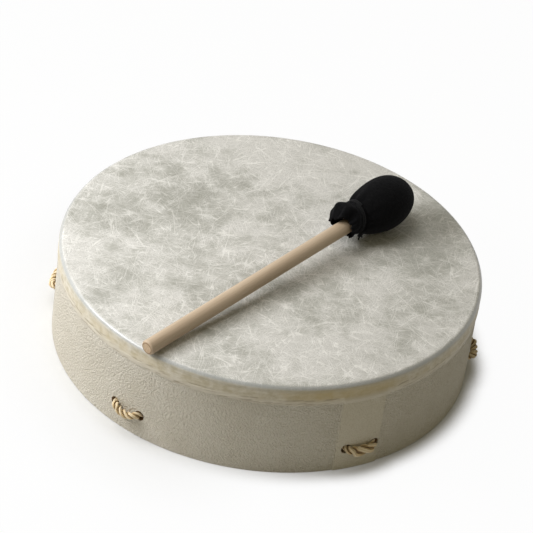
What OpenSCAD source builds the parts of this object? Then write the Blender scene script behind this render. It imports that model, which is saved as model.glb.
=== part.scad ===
// Shallow frame drum with a film head, a wrapped shell, a rope handle laced
// across its open back, and the soft mallet that lies on its head.
// Millimetres, +Z up. The origin is on the drum's axis, at its lower rim.

/* [Shell] */
// Outside diameter of the drum, over the head's collar
drum_d = 355.6; // [250:0.1:560]
// Height of the drum, from its lower rim to the top of the head
drum_h = 88.9; // [60:0.1:120]
// Wall of the fibre hoop
shell_wall = 6; // [4:0.1:10]
// Round on the hoop's outer top edge, where the head bends over it
edge_round = 3; // [2:0.1:5]
// Bevel on the hoop's inner top edge
edge_bevel = 1.5; // [0.5:0.1:3]

/* [Cover] */
// Thickness of the wrap on the outside of the hoop
cover_t = 0.8; // [0.4:0.1:1.5]
// How far the wrap stops above the lower rim
cover_hem = 0.6; // [0.2:0.1:3]
// How far the wrap's outer end laps over its inner end, round the drum
lap_w = 39; // [20:1:60]
// Angle of the wrap's free outer end
lap_angle = -65.6; // [-180:0.1:180]

/* [Head] */
// Thickness of the film
film_t = 0.4; // [0.2:0.05:0.8]
// Glue between the film's collar and the wrap
glue_t = 0.2; // [0.1:0.05:0.4]
// Depth of the collar that is glued down the outside
collar_h = 15; // [9:0.5:25]
// Bare margin of the collar below the glue
glue_margin = 1; // [0.5:0.1:3]

/* [Rope handle] */
// Diameter of the laced rope
rope_d = 6.4; // [4:0.1:8]
// Diameter of the lacing holes
hole_d = 9; // [8.5:0.1:12]
// Height of the lacing holes above the lower rim
hole_z = 21.5; // [16:0.5:40]
// Distance between the two holes of a pair
hole_pitch = 25.4; // [24:0.1:40]
// How far an outer loop droops between its holes
loop_sag = 2.5; // [0:0.1:4]
// Gap between an outer loop and the wrap under it
loop_gap = 0.5; // [0.3:0.1:2]
// Bend of the rope where it leaves a hole
loop_bend_r = 4.5; // [4.1:0.1:6]
// How far an outer loop's ends reach inside the hoop
loop_tail = 4; // [2:0.5:10]
// Radius of the grip ring, at the middle of its rope
ring_r = 25; // [20:0.5:40]
// Thickness of the grip ring
ring_d = 8; // [6:0.5:12]
// Gap between a rope and the ring that it turns round
ring_gap = 0.4; // [0.3:0.1:1]
// Half the angle that one hitch takes up round the ring
hitch_turn = 9; // [4:0.5:12]
// Turns of the knot that joins the rope's two ends
knot_turns = 3; // [2:1:4]
// How far the knot lies from the hoop's inner wall
knot_inset = 14; // [9:0.5:30]

/* [Mallet] */
// Diameter of the stick
stick_d = 12.7; // [10:0.1:16]
// Round on the stick's bare end
stick_round = 2; // [0.5:0.1:4]
// Distance from the stick's bare end to the widest part of the head
stick_reach = 283; // [230:1:400]
// Diameter of the soft head
mallet_d = 45; // [40:0.5:60]
// Length of the soft head in front of its widest part
mallet_nose = 31; // [20:0.5:35]
// Length of the soft head behind its widest part, to the tie
mallet_tail = 31; // [24:0.5:45]
// Thickness of the cloth cover
cloth_t = 1.4; // [0.8:0.1:2.5]
// Diameter of the rubber core
core_d = 27; // [24:0.5:32]
// How far the stick runs past the middle of the core
core_bite = 7; // [3:0.5:9]
// Length of the gathered skirt behind the tie
skirt_l = 13.5; // [10:0.5:30]
// How far the skirt flares out from the neck
skirt_flare = 1.9; // [1:0.1:6]
// Folds round the skirt
skirt_folds = 8; // [6:1:12]
// Thickness of the tie cord
tie_d = 1.6; // [1:0.1:2.5]
// Turns of the tie cord
tie_turns = 2; // [2:1:5]
// Length of the tie cord's two loose ends
tie_tail = 8; // [4:0.5:15]
// Angle round the stick of the tie cord's knot
tie_knot_angle = 225; // [180:1:260]

/* [Mallet on the head] */
// Place of the mallet head's middle, to the right of the drum's axis
rest_x = 86.6; // [-100:0.1:100]
// Place of the mallet head's middle, behind the drum's axis
rest_y = 63.1; // [-100:0.1:100]
// Direction of the stick, seen from above
rest_angle = 52.1; // [-180:0.1:180]
// Gap under the mallet where it lies
rest_gap = 0.3; // [0.1:0.05:1]

/* [Hidden] */
$fn = 96;
// Gap between pieces of one body that fit into each other
fit = 0.1;
// Gap on each side of the layer of glue
glue_slack = 0.02;
// Gap between rope ends that meet at a slight angle
meet_gap = 0.4;
// Angles of the six pairs of lacing holes, drilled by hand
pair_angles = [0, 60, 120, 176, 236.5, 301.5];
pairs = len(pair_angles);

// Shell, wrap, glue and film lie on each other from the inside out
outer_r = drum_d / 2;
collar_in_r = outer_r - film_t;
cover_r = collar_in_r - glue_t;
shell_r = cover_r - cover_t;
inner_r = shell_r - shell_wall;
shell_h = drum_h - film_t;
collar_z = drum_h - collar_h;
crest_r = shell_r - edge_round;
shoulder_r = collar_in_r - crest_r;
shoulder_z = shell_h - shoulder_r;
lap_deg = lap_w / cover_r * 180 / PI;
// Room that a cutter is given past the faces it cuts
over = 1;

// Rope
rope_r = rope_d / 2;
rope_sides = 8;
hole_half = asin(hole_pitch / 2 / cover_r);
tail_r = inner_r - loop_tail;
bend_steps = 4;
span_steps = 6;
hitch_steps = 12;
hitch_r = ring_d / 2 + ring_gap + rope_r;

// Knot
knot_gap = 0.6;
knot_r = 2 * rope_r + ring_gap;
knot_pitch = rope_d + knot_gap;
loop_rings = 24;
wound_sides = 6;

// Mallet, along +X from the bare end of its stick
stick_r = stick_d / 2;
mallet_r = mallet_d / 2;
belly_x = stick_reach;
tip_x = belly_x + mallet_nose;
core_r = core_d / 2;
neck_in_r = stick_r + fit;
// Layers of cloth that lie on each other in the gathered neck
neck_layers = 4.7;
neck_t = neck_layers * cloth_t;
neck_r = neck_in_r + neck_t;
neck_fold = 0.3;
// The gathers lie thicker on the lifted side of the skirt, by this much more than their middle
neck_off = 3.2;
tie_r = tie_d / 2;
tie_gap = 0.5;
tie_pitch = tie_d + tie_gap;
tie_knot_r = 0.9 * tie_d;
tie_tail_lean = 25;
tie_wrap_r = neck_r + neck_fold + tie_r + fit;
neck_w = (tie_turns + 1) * tie_pitch;
neck_x = belly_x - mallet_tail;
skirt_x = neck_x - neck_w;
// The padding starts this share of the way from the tie to the widest part
pad_start = 0.2;
pad_gap = 0.5;
pad_in = cloth_t + pad_gap;
pad_steps = 12;
// How full the head is just in front of the tie; less is fuller
tail_fullness = 0.65;
cloth_sides = 28;
skirt_steps = 4;
tail_steps = 7;
nose_steps = 6;
fold_depth = 0.9 * cloth_t;
// The skirt is long and lifted on one side, and short next to it
skirt_side = 37;
skirt_lift = skirt_flare + 0.4;
skirt_long = 4.9;
skirt_long_side = 66;
skirt_tabs = 1.1;
// The skirt widens over this part of a half wave, so that its edge draws in again
skirt_wave = 250;

// The mallet lies on its soft head and on the drum's rim, or on its bare end if that falls short
rest_dir = [cos(rest_angle), sin(rest_angle)];
rest_at = [rest_x, rest_y];
rim_reach = rest_at * rest_dir
    + sqrt(pow(rest_at * rest_dir, 2) - rest_at * rest_at + pow(crest_r, 2));
bear_reach = min(rim_reach, stick_reach - stick_round);
rest_tilt = asin((mallet_r - stick_r) / bear_reach);

// Swept tubes

function unit(v) = v / norm(v);

function along(path, i) = unit(path[min(i + 1, len(path) - 1)] - path[max(i - 1, 0)]);

// Points of one ring round a path, with across a direction that is never along it
function ring_points(path, i, r, sides, across) =
    let (t = along(path, i), a = unit(cross(across, t)), b = cross(t, a))
    [for (k = [0:sides - 1]) path[i] + r * (cos(360 * k / sides) * a + sin(360 * k / sides) * b)];

// Triangles between ring i and ring i + 1 of a stack of rings
function band_faces(i, sides) = [
    for (k = [0:sides - 1])
        let (a = i * sides + k, b = i * sides + (k + 1) % sides)
            each [[a, a + sides, b + sides], [a, b + sides, b]]
];

// Closed tube of radius r along a path; acrosses holds one direction for each point
module tube(path, r, sides, acrosses) {
    last = (len(path) - 1) * sides;
    polyhedron(
        [for (i = [0:len(path) - 1]) each ring_points(path, i, r, sides, acrosses[i])],
        concat(
            [for (i = [0:len(path) - 2]) each band_faces(i, sides)],
            [for (k = [1:sides - 2]) [0, k, k + 1]],
            [for (k = [1:sides - 2]) [last, last + k + 1, last + k]]
        )
    );
}

// Least distance between points of a winding that are half a turn or more apart
function winding_gap(path, r) =
    min([
        for (i = [0:len(path) - 1], j = [i + loop_rings / 2:len(path) - 1])
            norm(path[i] - path[j])
    ]) - 2 * r;

// A winding's path with a straight run at each end
function straight_ends(path, run) =
    let (n = len(path) - 1)
    concat(
        [path[0] - run * unit(path[1] - path[0])],
        path,
        [path[n] + run * unit(path[n] - path[n - 1])]
    );

// Cylinder from p to q
module rod(p, q, r) {
    d = q - p;
    translate(p)
        rotate([0, acos(d[2] / norm(d)), atan2(d[1], d[0])])
            cylinder(r = r, h = norm(d));
}

function polar(r, angle, z) = [r * cos(angle), r * sin(angle), z];

// Drum

// Angle of one hole: pair p, side -1 or 1
function hole_angle(p, side) = pair_angles[p % pairs] + side * hole_half;

module lacing_holes() {
    for (p = [0:pairs - 1], side = [-1, 1])
        rotate([0, 0, hole_angle(p, side)])
            translate([inner_r - shell_wall, 0, hole_z])
                rotate([0, 90, 0])
                    cylinder(d = hole_d, h = 3 * shell_wall + 4 * cover_t);
}

// Wood-fibre hoop with a bearing edge on top
module shell() {
    color("#b59a72")
        difference() {
            rotate_extrude()
                difference() {
                    union() {
                        translate([inner_r, 0])
                            square([shell_wall, shell_h - edge_round]);
                        translate([inner_r, 0])
                            square([shell_wall - edge_round, shell_h]);
                        translate([crest_r, shell_h - edge_round])
                            circle(edge_round);
                    }
                    polygon([
                        [inner_r - over, shell_h - edge_bevel - over],
                        [inner_r + edge_bevel + over, shell_h + over],
                        [inner_r - over, shell_h + over]
                    ]);
                }
            lacing_holes();
        }
}

// Wrap round the hoop, whose outer end laps over its inner end
module shell_cover() {
    color("#d6cfbf")
        difference() {
            union() {
                rotate_extrude()
                    translate([shell_r, cover_hem])
                        square([cover_t, shoulder_z - cover_hem]);
                rotate([0, 0, lap_angle])
                    rotate_extrude(angle = lap_deg)
                        translate([cover_r - cover_t / 2, cover_hem])
                            square([cover_t * 1.5, collar_z - meet_gap - cover_hem]);
            }
            lacing_holes();
        }
}

// Glue that holds the collar to the wrap
module head_adhesive() {
    color("#d9c98f")
        rotate_extrude()
            translate([cover_r + glue_slack, collar_z + glue_margin])
                square([glue_t - 2 * glue_slack, shoulder_z - collar_z - glue_margin]);
}

// Film stretched over the hoop, bent over its edge and down the outside
module drumhead() {
    color("#d5d4cc")
        rotate_extrude() {
            translate([0, shell_h])
                square([crest_r, film_t]);
            intersection() {
                translate([crest_r, shoulder_z])
                    difference() {
                        circle(shoulder_r + film_t);
                        circle(shoulder_r);
                    }
                translate([crest_r, shoulder_z])
                    square(shoulder_r + film_t);
            }
            translate([collar_in_r, collar_z])
                square([film_t, shoulder_z - collar_z]);
        }
}

// Rope handle

// A pair of holes that the lap covers carries its loop further out
function on_lap(p) =
    let (a = (pair_angles[p] - lap_angle + 720) % 360)
    a < lap_deg + hole_half || a > 360 - hole_half ? cover_t : 0;

// Half of an outer loop, from inside the hoop to the middle of its span
function half_loop(p, side) =
    let (
        lift = rope_r + loop_gap + on_lap(p),
        span_r = cover_r + lift,
        bend_z = span_r - loop_bend_r,
        bend_deg = loop_bend_r / span_r * 180 / PI,
        flat_deg = hole_half - bend_deg
    )
    concat(
        [polar(tail_r, hole_angle(p, side), hole_z)],
        [
            for (k = [0:bend_steps])
                let (t = 90 * k / bend_steps)
                    polar(
                        bend_z + loop_bend_r * sin(t),
                        hole_angle(p, side) - side * bend_deg * (1 - cos(t)),
                        hole_z - loop_sag * pow(bend_deg * (1 - cos(t)) / hole_half, 2)
                    )
        ],
        [
            for (k = [1:span_steps / 2])
                let (
                    away = flat_deg * (1 - 2 * k / span_steps),
                    droop = loop_sag * (1 - pow(away / hole_half, 2))
                )
                    polar(span_r, pair_angles[p] + side * away, hole_z - droop)
        ]
    );

function reversed(list) = [for (i = [len(list) - 1:-1:0]) list[i]];

function outer_loop(p) =
    let (half = half_loop(p, -1), other = reversed(half_loop(p, 1)))
    concat(half, [for (i = [1:len(other) - 1]) other[i]]);

// Six short spans of rope on the outside, each out of one hole and into the next
module rope_outer_loops() {
    color("#c9a56b")
        for (p = [0:pairs - 1])
            tube(outer_loop(p), rope_r, rope_sides, [for (q = outer_loop(p)) [0, 0, 1]]);
}

// Angle round the ring of the hitch between pair p and the next one
function hitch_angle(p) =
    (hole_angle(p, 1) + hole_angle(p + 1, -1) + (p == pairs - 1 ? 360 : 0)) / 2;

// Half a turn round the ring, from above it to below it
function hitch_path(p) = [
    for (k = [0:hitch_steps])
        let (t = 180 * k / hitch_steps, a = hitch_angle(p) + hitch_turn * (2 * k / hitch_steps - 1))
            polar(ring_r - hitch_r * sin(t), a, hole_z + hitch_r * cos(t))
];

// Six half turns of the rope round the grip ring
module rope_hitches() {
    color("#c9a56b")
        for (p = [0:pairs - 1])
            tube(
                hitch_path(p), rope_r, rope_sides,
                [for (k = [0:hitch_steps]) polar(1, hitch_angle(p) + 90, 0)]
            );
}

// Ends of one straight spoke: side 1 comes in above the ring, side -1 leaves below it
function spoke_ends(p, side) =
    let (
        hole = polar(tail_r, hole_angle(p, side), hole_z),
        h = side > 0 ? p : (p + pairs - 1) % pairs,
        ring = hitch_path(h)[side > 0 ? 0 : hitch_steps],
        d = unit(ring - hole)
    )
    [hole + d * meet_gap, ring - d * 2 * meet_gap];

// Twelve straight runs of rope across the open back
module rope_spokes() {
    color("#c9a56b")
        for (p = [0:pairs - 1], side = [-1, 1])
            rod(spoke_ends(p, side)[0], spoke_ends(p, side)[1], rope_r);
}

// Coil that ties the rope's end round its first spoke
function knot_path() =
    let (
        ends = spoke_ends(pairs - 1, -1),
        d = unit(ends[1] - ends[0]),
        a = unit(cross([0, 0, 1], d)),
        b = cross(d, a),
        start = ends[0] + d * (knot_inset - loop_tail),
        steps = knot_turns * loop_rings
    )
    [
        for (k = [0:steps])
            let (t = 360 * k / loop_rings)
                start + d * knot_pitch * k / loop_rings + knot_r * (cos(t) * a + sin(t) * b)
    ];

module rope_end_knot() {
    path = straight_ends(knot_path(), rope_d);
    ends = spoke_ends(pairs - 1, -1);
    echo(knot_gap_measured = winding_gap(path, rope_r));
    color("#c9a56b")
        tube(path, rope_r, wound_sides, [for (q = path) unit(ends[1] - ends[0])]);
}

// Rope ring at the middle of the back, which the hand holds
module grip_ring() {
    color("#b98f55")
        translate([0, 0, hole_z])
            rotate_extrude()
                translate([ring_r, 0])
                    circle(d = ring_d);
}

// Mallet

// Puts a mallet that lies along +X where it rests on the head
module on_the_head() {
    translate([rest_x, rest_y, drum_h + rest_gap + mallet_r])
        rotate([0, -rest_tilt, rest_angle])
            translate([-belly_x, 0, 0])
                children();
}

// Turned dowel with a rounded bare end
module mallet_stick() {
    color("#dcc39b")
        on_the_head()
            rotate([0, 90, 0])
                rotate_extrude() {
                    translate([0, stick_round])
                        square([stick_r, belly_x + core_bite - stick_round]);
                    square([stick_r - stick_round, belly_x]);
                    translate([stick_r - stick_round, stick_round])
                        intersection() {
                            circle(stick_round);
                            translate([0, -stick_round])
                                square(stick_round);
                        }
                }
}

// Rubber ball with a blind hole for the stick
module mallet_core() {
    color("#4a4a48")
        on_the_head()
            difference() {
                translate([belly_x, 0, 0])
                    sphere(core_r);
                translate([belly_x - 2 * core_r, 0, 0])
                    rotate([0, 90, 0])
                        cylinder(r = stick_r + fit, h = 2 * core_r + core_bite + fit);
            }
}

// How far the gathers at angle a round the stick stand beyond their middle
function gather(a) = neck_off * cos(a - skirt_side);

// Radius of the head's outside at angle a, from the tie to its widest part
function head_radius(x, a) =
    let (
        rise = max(0, cos(90 * (belly_x - x) / mallet_tail)),
        low = neck_r + gather(a)
    )
    low + (mallet_r - low) * pow(rise, tail_fullness);

// Outline of the padding, inside the cloth
function pad_outline() = concat(
    [
        for (k = [0:pad_steps])
            let (x = neck_x + mallet_tail * (pad_start + (1 - pad_start) * k / pad_steps))
                [max(head_radius(x, skirt_side + 180) - pad_in, neck_in_r + pad_gap), x]
    ],
    [
        for (k = [1:pad_steps])
            let (t = 90 * k / pad_steps)
                [(mallet_r - pad_in) * cos(t), belly_x + (mallet_nose - pad_in) * sin(t)]
    ]
);

// Wool round the core
module mallet_padding() {
    outline = pad_outline();
    color("#8f8a80")
        on_the_head()
            difference() {
                rotate([0, 90, 0])
                    rotate_extrude()
                        polygon(concat([[0, outline[0][1]]], outline));
                translate([belly_x, 0, 0])
                    sphere(core_r + fit);
                translate([neck_x - over, 0, 0])
                    rotate([0, 90, 0])
                        cylinder(r = stick_r + fit, h = mallet_tail);
            }
}

function skirt_edge(a) =
    skirt_l + skirt_long * cos(a - skirt_long_side) + skirt_tabs * cos(2 * (a - skirt_side));

function skirt_out(a) = skirt_flare + skirt_lift * cos(a - skirt_side);

// Thickness of the cloth at angle a, where share is 1 at the gathered neck and 0 away from it
function cloth_depth(share, a) = cloth_t + (neck_t + gather(a) - cloth_t) * share;

function around(x, r, a) = [x, r * cos(a), r * sin(a)];

// Point of the skirt: station s from 0 at its edge, angle a round the stick, face 0 outside, 1 inside
function skirt_point(s, a, face) =
    let (
        t = 1 - s / skirt_steps,
        fold = (neck_fold + (fold_depth - neck_fold) * t) * sin(skirt_folds * a),
        depth = cloth_depth(pow(1 - t, 2), a),
        r = neck_r + gather(a) + skirt_out(a) * sin(skirt_wave * t) - face * depth,
        x = skirt_x - skirt_edge(a) * t
    )
    around(x, s < skirt_steps || face == 0 ? r + fold : r, a);

// Point between the tie and the widest part
function tail_point(s, a, face) =
    let (
        t = s / tail_steps,
        x = neck_x + mallet_tail * pow(t, 1.4),
        fold = neck_fold * pow(1 - t, 2) * sin(skirt_folds * a),
        r = head_radius(x, a) - face * cloth_depth(pow(1 - t, 6), a)
    )
    around(x, face == 0 ? r + fold : r, a);

// Point in front of the widest part
function nose_point(s, a, face) =
    let (t = 90 * s / nose_steps, inset = face * cloth_t)
    around(belly_x + (mallet_nose - inset) * sin(t), (mallet_r - inset) * cos(t), a);

// Rings of one face of the cloth, from the skirt's edge to just short of the nose
function cloth_rings(face) =
    let (angles = [for (k = [0:cloth_sides - 1]) 360 * k / cloth_sides])
    concat(
        [for (s = [0:skirt_steps]) [for (a = angles) skirt_point(s, a, face)]],
        [for (s = [0:tail_steps - 1]) [for (a = angles) tail_point(s, a, face)]],
        [for (s = [0:nose_steps - 1]) [for (a = angles) nose_point(s, a, face)]]
    );

// Black cloth gathered over the padding and tied on the stick
module mallet_cover() {
    outside = cloth_rings(0);
    inside = cloth_rings(1);
    rings = len(outside);
    inner = rings * cloth_sides;
    nose = 2 * inner;
    points = concat(
        [for (r = outside) each r],
        [for (r = inside) each r],
        [[tip_x, 0, 0], [tip_x - cloth_t, 0, 0]]
    );
    bands = [for (i = [0:rings - 2]) each band_faces(i, cloth_sides)];
    last = (rings - 1) * cloth_sides;
    faces = concat(
        bands,
        [for (f = bands) [f[2] + inner, f[1] + inner, f[0] + inner]],
        [
            for (k = [0:cloth_sides - 1])
                let (n = (k + 1) % cloth_sides)
                    each [[k, n, n + inner], [k, n + inner, k + inner]]
        ],
        [for (k = [0:cloth_sides - 1]) [last + k, nose, last + (k + 1) % cloth_sides]],
        [
            for (k = [0:cloth_sides - 1])
                [inner + last + (k + 1) % cloth_sides, nose + 1, inner + last + k]
        ]
    );
    color("#151517")
        on_the_head()
            polyhedron(points, faces);
}

// Cord wound round the gathered neck
function tie_path() = [
    for (k = [0:tie_turns * loop_rings])
        let (t = 360 * k / loop_rings + 90)
            around(skirt_x + tie_pitch / 2 + tie_pitch * k / loop_rings, tie_wrap_r + gather(t), t)
];

module mallet_tie_cord() {
    path = straight_ends(tie_path(), tie_d);
    echo(tie_gap_measured = winding_gap(path, tie_r));
    color("#0c0c0d")
        on_the_head()
            tube(path, tie_r, wound_sides, [for (q = path) [1, 0, 0]]);
}

// Knot over the windings, with the cord's two loose ends
module mallet_tie_knot() {
    color("#0c0c0d")
        on_the_head()
            rotate([tie_knot_angle, 0, 0])
                translate([skirt_x + neck_w / 2, tie_wrap_r + gather(tie_knot_angle) + tie_r + fit + tie_knot_r, 0]) {
                    sphere(tie_knot_r);
                    for (lean = [-1, 1])
                        rotate([-90, 0, lean * tie_tail_lean])
                            cylinder(r = tie_r, h = tie_tail);
                }
}

shell();
shell_cover();
head_adhesive();
drumhead();
rope_outer_loops();
rope_spokes();
rope_hitches();
rope_end_knot();
grip_ring();
mallet_stick();
mallet_core();
mallet_padding();
mallet_cover();
mallet_tie_cord();
mallet_tie_knot();
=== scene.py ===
import math

import bpy
import numpy as np
from mathutils import Matrix, Vector


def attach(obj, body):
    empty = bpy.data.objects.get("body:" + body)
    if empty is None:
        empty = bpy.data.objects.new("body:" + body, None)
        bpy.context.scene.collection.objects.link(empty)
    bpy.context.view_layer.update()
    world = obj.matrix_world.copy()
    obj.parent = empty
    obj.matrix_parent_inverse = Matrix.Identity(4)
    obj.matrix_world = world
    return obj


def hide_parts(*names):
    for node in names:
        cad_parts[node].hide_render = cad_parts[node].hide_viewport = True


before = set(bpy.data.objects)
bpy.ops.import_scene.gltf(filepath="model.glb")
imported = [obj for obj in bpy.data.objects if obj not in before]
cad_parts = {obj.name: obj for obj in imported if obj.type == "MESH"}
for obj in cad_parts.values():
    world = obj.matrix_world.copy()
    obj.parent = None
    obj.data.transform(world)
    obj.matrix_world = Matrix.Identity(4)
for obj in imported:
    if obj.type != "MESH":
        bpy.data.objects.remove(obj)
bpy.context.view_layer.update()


# Hoop: a ring of pressed wood fibre, wound from thin plies and glued, with its outer edge
# rounded for the head. Its inside is left bare, and twelve holes are drilled low in its wall.
class Wire:
    """One socket of a node tree; arithmetic on it adds nodes to that tree."""

    def __init__(self, tree, socket):
        self.tree = tree
        self.socket = socket

    def node(self, kind, settings, sockets, out=0):
        """New node with its settings and inputs, to go on from at one of its outputs."""
        made = self.tree.nodes.new(kind)
        for name, setting in settings.items():
            setattr(made, name, setting)
        for key, value in sockets.items():
            if isinstance(value, Wire):
                self.tree.links.new(value.socket, made.inputs[key])
            else:
                made.inputs[key].default_value = value
        return Wire(self.tree, made.outputs[out])

    def maths(self, operation, first, second=0.0):
        return self.node("ShaderNodeMath", {"operation": operation}, {0: first, 1: second})

    def __add__(self, other):
        return self.maths("ADD", self, other)

    def __radd__(self, other):
        return self.maths("ADD", other, self)

    def __sub__(self, other):
        return self.maths("SUBTRACT", self, other)

    def __rsub__(self, other):
        return self.maths("SUBTRACT", other, self)

    def __mul__(self, other):
        return self.maths("MULTIPLY", self, other)

    def __truediv__(self, other):
        return self.maths("DIVIDE", self, other)

    def __pow__(self, other):
        return self.maths("POWER", self, other)

    def __abs__(self):
        return self.maths("ABSOLUTE", self)

    def wave(self):
        return self.maths("SINE", self)

    def top(self, other):
        return self.maths("MAXIMUM", self, other)

    def between(self, low, high):
        """0 below low, 1 above high, eased in between."""
        return self.node(
            "ShaderNodeMapRange", {"interpolation_type": "SMOOTHSTEP"}, {0: self, 1: low, 2: high}
        )

    def blend(self, under, over):
        """Colour that goes from under to over as this goes from 0 to 1."""
        return self.node("ShaderNodeMix", {"data_type": "RGBA"}, {0: self, 6: under, 7: over}, 2)

    def ramp(self, *stops):
        """Colour that goes through stops, each a value from 0 to 1 and its colour."""
        colour = self.node("ShaderNodeValToRGB", {}, {0: self})
        row = colour.socket.node.color_ramp.elements
        while len(row) < len(stops):
            row.new(1.0)
        for stop, (value, tint) in zip(row, stops):
            stop.position = value
            stop.color = tint
        return colour

    def part(self, axis):
        return self.node("ShaderNodeSeparateXYZ", {}, {0: self}, axis)

    def turned(self, scale, degrees=(0, 0, 0), shift=(0, 0, 0)):
        turn = tuple(math.radians(a) for a in degrees)
        return self.node(
            "ShaderNodeMapping", {},
            {"Vector": self, "Location": shift, "Rotation": turn, "Scale": scale},
        )

    def bearing(self):
        """Angle round the Z axis, from -pi to pi."""
        return self.maths("ARCTAN2", self.part("Y"), self.part("X"))

    def length(self):
        return self.node("ShaderNodeVectorMath", {"operation": "LENGTH"}, {0: self}, "Value")

    def moved(self, other):
        return self.node("ShaderNodeVectorMath", {"operation": "ADD"}, {0: self, 1: other})

    def swayed(self, sway, reach):
        """Place moved aside by a noise's colour, up to half of reach along each axis."""
        return self.moved(sway.turned(reach, shift=tuple(-r / 2 for r in reach)))

    def noise(self, scale, detail=2.0, roughness=0.5, out="Fac"):
        return self.node(
            "ShaderNodeTexNoise", {},
            {"Vector": self, "Scale": scale, "Detail": detail, "Roughness": roughness}, out,
        )

    def cells(self, scale):
        """Distance from the middles of rounded cells."""
        rounded = {"feature": "SMOOTH_F1"}
        return self.node("ShaderNodeTexVoronoi", rounded, {"Vector": self, "Scale": scale}, "Distance")

    def stored(self, name, out="Fac"):
        """Value that the piece's mesh carries."""
        return self.node("ShaderNodeAttribute", {"attribute_name": name}, {}, out)

    def relief(self, height):
        """Normal of a surface that stands out by this value times a height in metres."""
        return self.node("ShaderNodeBump", {}, {"Height": self, "Distance": height}, "Normal")

    def feed(self, shader, name):
        self.tree.links.new(self.socket, shader.inputs[name])


def shade(red, green, blue):
    """Colour for a shader from its values on screen, 0 to 255."""
    parts = [c / 255 for c in (red, green, blue)]
    parts = [c / 12.92 if c <= 0.04045 else ((c + 0.055) / 1.055) ** 2.4 for c in parts]
    return (*parts, 1.0)


def new_finish(name, levels):
    """Material with the levels that are the same all over, and the place to paint it by."""
    material = bpy.data.materials.new(name)
    material.use_nodes = True
    tree = material.node_tree
    shader = tree.nodes["Principled BSDF"]
    for socket, level in levels.items():
        shader.inputs[socket].default_value = level
    place = tree.nodes.new("ShaderNodeTexCoord")
    return material, shader, Wire(tree, place.outputs["Object"])


def dress(node, material):
    """Gives a solid of the frame its finish."""
    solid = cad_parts[node]
    solid.data.materials.clear()
    solid.data.materials.append(material)


board_relief = 0.0004


def fibreboard():
    material, shader, place = new_finish("bare fibreboard", {"Specular IOR Level": 0.3})
    plies = place.turned((14, 14, 700)).noise(1.0, 3.0)
    flecks = place.turned((180, 180, 420)).noise(1.0, 4.0, 0.65)
    stain = place.noise(22, 3.0)
    tone = plies * 0.45 + flecks * 0.4 + stain * 0.15
    tone.between(0.36, 0.64).blend(shade(140, 110, 78), shade(186, 156, 117)).feed(shader, "Base Color")
    (0.68 + flecks * 0.2).feed(shader, "Roughness")
    tone.relief(board_relief).feed(shader, "Normal")
    return material


dress("shell", fibreboard())


# Wrap: thin cream sheet with a fine leather grain, glued round the hoop.
# One end of it laps over the other, pressed smoother there, and the holes are punched through it.
lap_from = math.radians(-65.6)
lap_to = math.radians(-53.0)
lap_fade_turn = 0.004
cut_edge_turn = 0.0015
wrinkles_per_m = 620
pebbles_per_m = 690
grain_sway = 0.0012
grain_relief = 0.0011


def grained_wrap():
    material, shader, place = new_finish("grained wrap", {"Specular IOR Level": 0.3})
    bent = place.swayed(place.noise(330, 2.0, out="Color"), (grain_sway, grain_sway, grain_sway))
    wrinkle = bent.noise(wrinkles_per_m, 2.0, 0.6).between(0.3, 0.7)
    pebble = 1.0 - bent.cells(pebbles_per_m)
    height = wrinkle * 0.55 + pebble * 0.45
    turn = place.bearing()
    lap = turn.between(lap_from, lap_from + lap_fade_turn) * turn.between(lap_to + lap_fade_turn, lap_to)
    cut_edge = abs(turn - lap_from).between(lap_fade_turn, cut_edge_turn)
    wear = place.noise(16, 4.0, 0.6)
    ground = wear.between(0.3, 0.7).blend(shade(207, 200, 186), shade(217, 211, 199))
    # Painted shade: the grain's hollows are darkened.
    ground = (height.between(0.62, 0.2) * 0.22).blend(ground, shade(184, 174, 156))
    ground = (lap * 0.26).blend(ground, shade(206, 196, 168))
    (cut_edge * 0.7).blend(ground, shade(234, 228, 214)).feed(shader, "Base Color")
    (0.66 + height.between(0.7, 0.2) * 0.2).feed(shader, "Roughness")
    (height * (1.0 - lap * 0.6)).relief(grain_relief).feed(shader, "Normal")
    return material


dress("shell_cover", grained_wrap())


# Head: one sheet of fibre film, moulded over the hoop's edge and glued down its outside.
# Loose pulp fibres show all through it, and its trimmed lower edge is creased by the shrinking.
drum_r = 0.1778
head_z = 0.0889
shoulder_r = 0.0044
crest_r = drum_r - shoulder_r
crest_z = head_z - shoulder_r
film_t = 0.0004
collar_z = 0.0705
lap_rise = 0.0008
flat_rings = (0.03, 0.09, 0.15, 0.168, 0.1712)
under_rings = (0.1, 0.03)
film_sides = 1400
collar_rows = 40
trim_waver = 0.0006
trim_in = 0.0001
trim_seat = 0.005
hem_press = 0.0003
swell_rise = 0.00014
crease_waver = 0.0005
dark_dip = 0.0001
pale_rise = 0.00012
# Each row of creases: how many, their middle height, its spread, and a seed.
upper_creases = (130, 0.0758, 0.0005, 11)
lower_creases = (150, 0.0718, 0.0006, 12)
pale_creases = (170, 0.0738, 0.0012, 13)
# Least and most of a crease's half length, slant, thickness and depth.
crease_reach = (0.003, 0.0075)
crease_slant = (-0.02, 0.22)
crease_t = (0.0003, 0.0005)
crease_depth = (0.35, 1.0)
fibre_ways = (4, 27, 51, 73, 96, 118, 142, 165)
fibre_sway = (0.008, 0.008, 0.0)
fibre_curl = (0.0014, 0.0014, 0.0)
film_relief = 0.0002
spill_from = -1.5
spill_to = -0.8
glue_relief = 0.0002


def wander(turn, slowest, fastest, waves, seed):
    """Smooth uneven values round a full turn, from about -1 to 1."""
    dice = np.random.default_rng(seed)
    rates = dice.integers(slowest, fastest + 1, waves)
    starts = dice.uniform(0, 2 * math.pi, waves)
    total = np.cos(rates[:, None] * turn + starts[:, None]).sum(axis=0)
    return total / np.abs(total).max()


def ease(value, low, high):
    """0 below low, 1 above high, eased in between."""
    share = np.clip((value - low) / (high - low), 0, 1)
    return share * share * (3 - 2 * share)


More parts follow.
